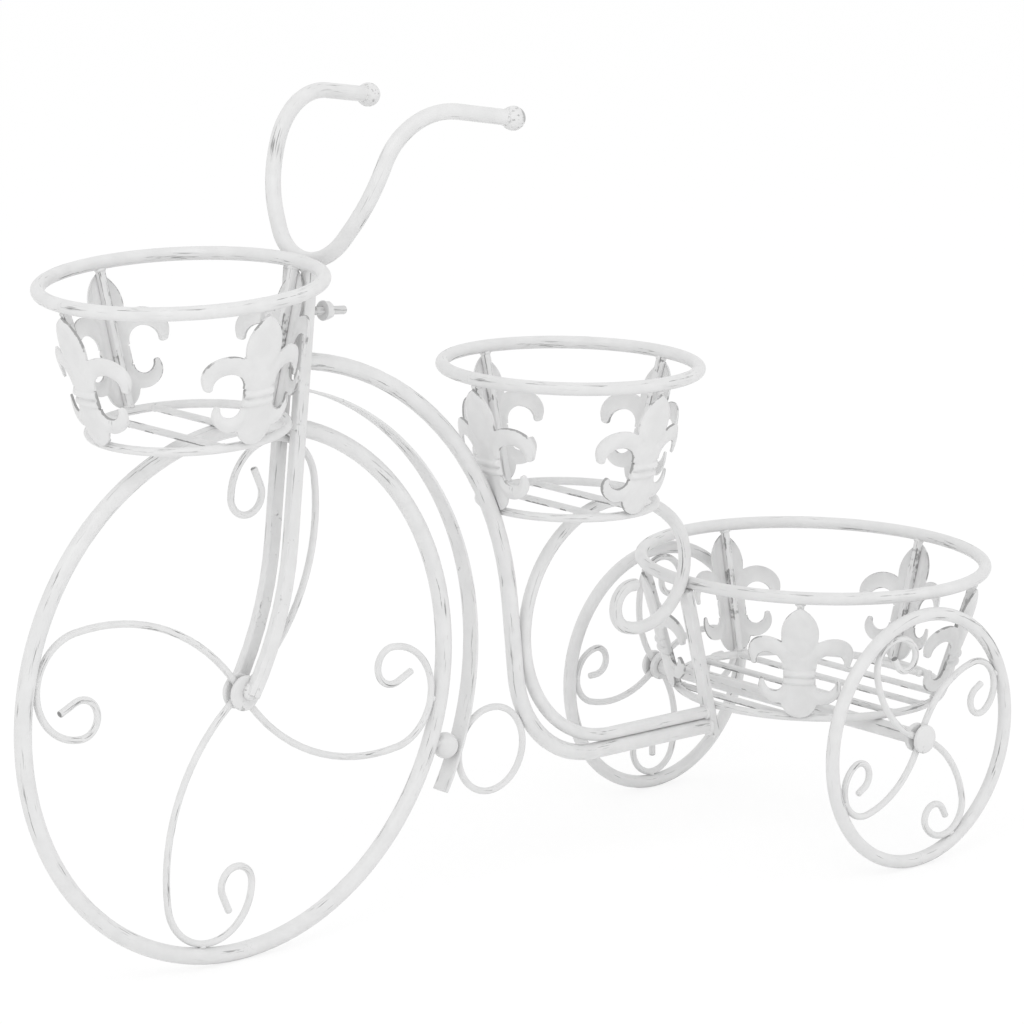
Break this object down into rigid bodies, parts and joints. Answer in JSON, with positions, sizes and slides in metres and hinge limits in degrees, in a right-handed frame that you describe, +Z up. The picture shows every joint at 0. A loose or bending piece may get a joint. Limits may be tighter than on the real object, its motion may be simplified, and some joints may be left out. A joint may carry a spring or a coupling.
{
  "type": "bicycle plant stand",
  "caption": "White distressed metal plant stand shaped like a bicycle, with scroll-spoked wheels, an arched frame, a handlebar and round pot baskets set with fleur-de-lis plates",
  "frame": {"origin": "On the floor, under the middle of the part's box", "axes": "X runs from the front wheel to the rear basket, Y across to the far side, Z up from the floor"},
  "size_m": [0.8888, 0.293, 0.5938],
  "materials": {
    "white_paint": "distressed satin white paint, rubbed through to grey on edges and welds"
  },
  "bodies": {
    "stand": {"axle_tube": "white_paint", "fork_bar_far": "white_paint", "fork_bar_near": "white_paint", "front_bottom_ring": "white_paint", "front_fleurs": "white_paint", "front_floor_rods": "white_paint", "front_hub_discs": "white_paint", "front_rim": "white_paint", "front_spokes": "white_paint", "front_stakes": "white_paint", "front_top_ring": "white_paint", "grip_balls": "white_paint", "handlebar": "white_paint", "head_nut": "white_paint", "head_stud": "white_paint", "head_washer": "white_paint", "hitch_bar": "white_paint", "main_tube": "white_paint", "mudguard": "white_paint", "mudguard_ring": "white_paint", "rear_bottom_ring": "white_paint", "rear_fleurs": "white_paint", "rear_floor_rods": "white_paint", "rear_stakes": "white_paint", "rear_top_ring": "white_paint", "seat_bottom_ring": "white_paint", "seat_fleurs": "white_paint", "seat_floor_rods": "white_paint", "seat_loop": "white_paint", "seat_stakes": "white_paint", "seat_top_ring": "white_paint", "spacer_ball": "white_paint"},
    "wheelset": {"axle_rod": "white_paint", "near_rim": "white_paint", "near_spokes": "white_paint", "near_hub_discs": "white_paint", "far_rim": "white_paint", "far_spokes": "white_paint", "far_hub_discs": "white_paint"}
  },
  "joints": [
    {"name": "rear_wheels_spin", "type": "hinge", "parent": "stand", "child": "wheelset", "pos_m": [0.28325, 0, 0.099], "axis": [0, 1, 0], "continuous": true}
  ]
}
